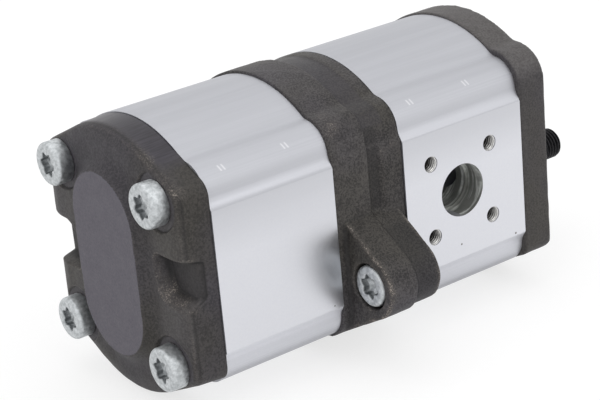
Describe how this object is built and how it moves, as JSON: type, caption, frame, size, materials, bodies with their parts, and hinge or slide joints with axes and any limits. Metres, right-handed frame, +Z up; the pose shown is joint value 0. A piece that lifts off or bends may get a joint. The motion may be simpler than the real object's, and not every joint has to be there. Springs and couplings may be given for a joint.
{
  "type": "hydraulic pump",
  "caption": "Tandem external gear pump: light alloy bodies between cast iron covers and a lugged centre casting, with a shared suction port and a taper drive shaft.",
  "frame": {"origin": "centre of the locating pilot in the plane of the front mounting face, on the drive shaft's axis", "axes": "+X out along the drive shaft, +Z up from the drive shaft to the driven gears, -Y towards the suction port"},
  "size_m": [0.2144, 0.1308, 0.1025],
  "materials": {
    "cast_iron": "sand-cast, phosphated dark grey",
    "body_aluminium": "extruded and cut, satin, flats milled",
    "block_aluminium": "turned",
    "zinc_plated_steel": "zinc plated, satin",
    "bush_bronze": "sintered, satin",
    "nylon": "matte",
    "seal_rubber": "matte",
    "blackened_steel": "hardened, blackened",
    "ground_steel": "hardened and ground"
  },
  "bodies": {
    "housing": {"rear_cover": "cast_iron", "rear_cover_screws": "zinc_plated_steel", "rear_cover_body_seal": "seal_rubber", "rear_body": "body_aluminium", "rear_stage_dowels": "ground_steel", "rear_bearing_block_back": "block_aluminium", "rear_bearing_block_front": "block_aluminium", "rear_stage_bushes": "bush_bronze", "rear_pressure_field_seals": "seal_rubber", "rear_seal_backup_rings": "nylon", "rear_flange_body_seal": "seal_rubber", "coupling_flange": "cast_iron", "adapter_plate": "cast_iron", "ear_screws": "zinc_plated_steel", "flange_spigot_seal": "seal_rubber", "gallery_seal": "seal_rubber", "front_stage_screws": "zinc_plated_steel", "front_adapter_body_seal": "seal_rubber", "front_body": "body_aluminium", "front_stage_dowels": "ground_steel", "front_bearing_block_back": "block_aluminium", "front_bearing_block_front": "block_aluminium", "front_stage_bushes": "bush_bronze", "front_pressure_field_seals": "seal_rubber", "front_seal_backup_rings": "nylon", "front_cover_body_seal": "seal_rubber", "front_cover": "cast_iron", "shaft_seal": "seal_rubber", "seal_retaining_ring": "ground_steel"},
    "drive_shaft": {"front_drive_gear_shaft": "blackened_steel", "shaft_key": "ground_steel", "drive_coupling": "ground_steel"},
    "front_idler": {"front_driven_gear": "ground_steel"},
    "rear_drive": {"rear_drive_gear": "ground_steel"},
    "rear_idler": {"rear_driven_gear": "ground_steel"}
  },
  "joints": [
    {"name": "shaft_spin", "type": "hinge", "parent": "housing", "child": "drive_shaft", "pos_m": [0, 0, 0], "axis": [1, 0, 0], "continuous": true},
    {"name": "front_idler_spin", "type": "hinge", "parent": "housing", "child": "front_idler", "pos_m": [-0.043, 0, 0.034], "axis": [1, 0, 0], "continuous": true},
    {"name": "rear_drive_spin", "type": "hinge", "parent": "housing", "child": "rear_drive", "pos_m": [-0.1265, 0, 0], "axis": [1, 0, 0], "continuous": true},
    {"name": "rear_idler_spin", "type": "hinge", "parent": "housing", "child": "rear_idler", "pos_m": [-0.1265, 0, 0.034], "axis": [1, 0, 0], "continuous": true}
  ],
  "couplings": [
    {"joint": "front_idler_spin", "follows": "shaft_spin", "ratio": -1},
    {"joint": "rear_drive_spin", "follows": "shaft_spin", "ratio": 1},
    {"joint": "rear_idler_spin", "follows": "shaft_spin", "ratio": -1}
  ]
}
